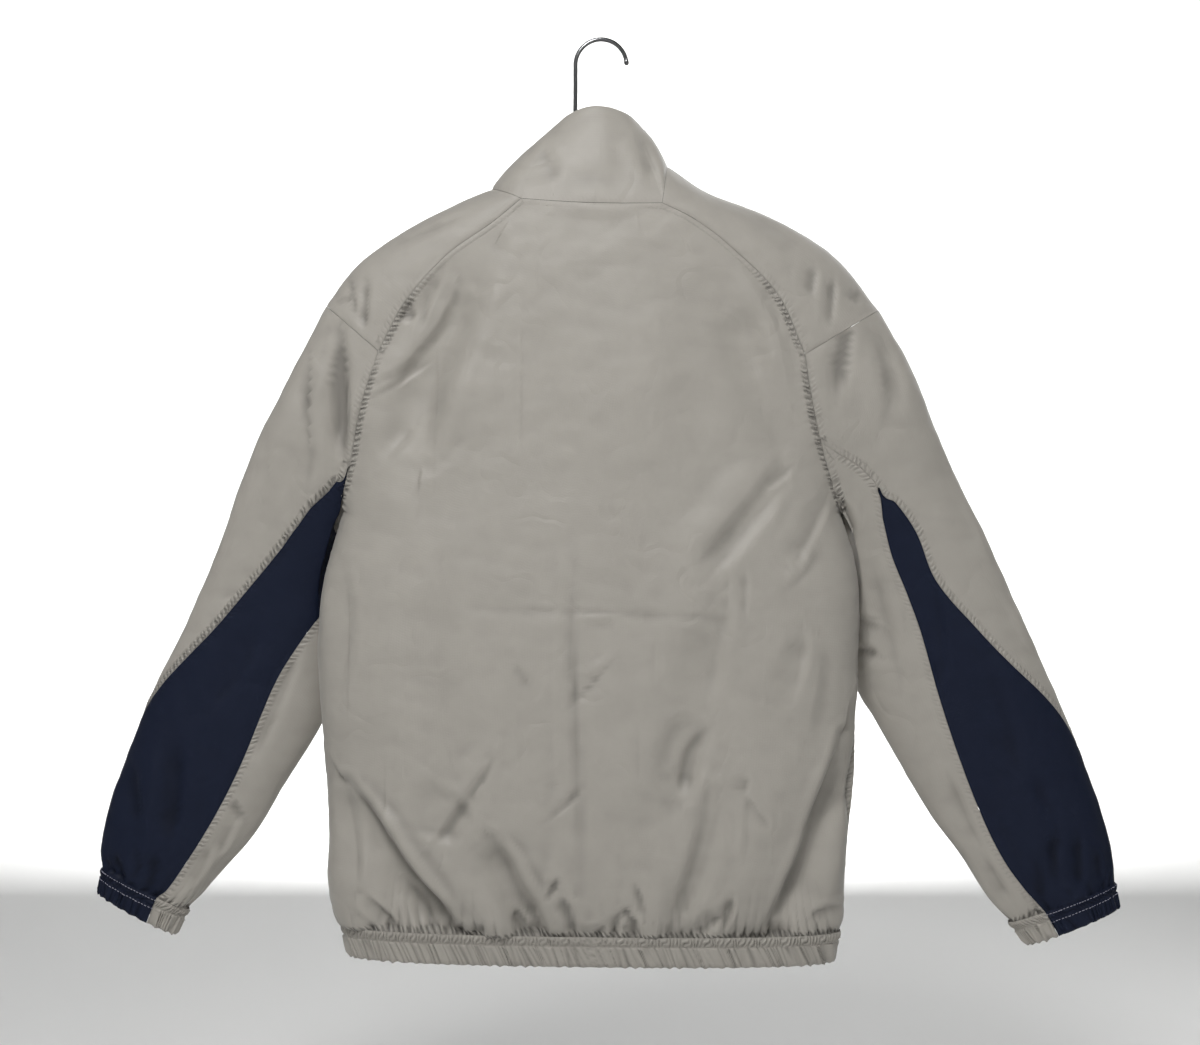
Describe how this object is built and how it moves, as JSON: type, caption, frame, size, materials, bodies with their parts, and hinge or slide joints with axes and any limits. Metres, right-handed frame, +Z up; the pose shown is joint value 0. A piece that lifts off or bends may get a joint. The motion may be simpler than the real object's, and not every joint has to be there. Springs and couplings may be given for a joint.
{
  "type": "windbreaker jacket on a hanger",
  "caption": "Woven windbreaker with a stand collar, full front zip, elastic hem and cuffs and dark inserts on the backs of the sleeves, on a hanger with a wire hook.",
  "frame": {"origin": "the inside top of the hanger's hook, where it hangs", "axes": "+Z up, -Y towards the jacket's back, +X to the right of somebody who looks at the back"},
  "size_m": [0.9518, 0.1364, 0.8477],
  "materials": {
    "grey_cloth": "fine plain weave, slight sheen",
    "navy_cloth": "fine plain weave, slight sheen",
    "zip_tape": "knitted tape",
    "zip_teeth": "moulded teeth",
    "slider_metal": "die cast, satin",
    "hanger_plastic": "moulded",
    "hook_metal": "dark chrome wire"
  },
  "bodies": {
    "jacket": {"back": "grey_cloth", "front_left": "grey_cloth", "front_right": "grey_cloth", "shoulder_left": "grey_cloth", "shoulder_right": "grey_cloth", "collar": "grey_cloth", "sleeve_top_left": "grey_cloth", "sleeve_under_left": "grey_cloth", "sleeve_insert_left": "navy_cloth", "sleeve_top_right": "grey_cloth", "sleeve_under_right": "grey_cloth", "sleeve_insert_right": "navy_cloth", "hem_band": "grey_cloth", "cuff_navy_left": "navy_cloth", "cuff_grey_left": "grey_cloth", "cuff_navy_right": "navy_cloth", "cuff_grey_right": "grey_cloth", "zip_tape_left": "zip_tape", "zip_tape_right": "zip_tape", "zip_chain": "zip_teeth", "zip_slider": "slider_metal", "hanger_bar": "hanger_plastic", "hanger_hook": "hook_metal"},
    "zip_pull": {"zip_pull": "slider_metal"}
  },
  "joints": [
    {"name": "zip_pull_swing", "type": "hinge", "parent": "jacket", "child": "zip_pull", "pos_m": [-0.008, 0.0638, -0.141], "axis": [1, 0, 0], "range_deg": [-8, 170]}
  ]
}
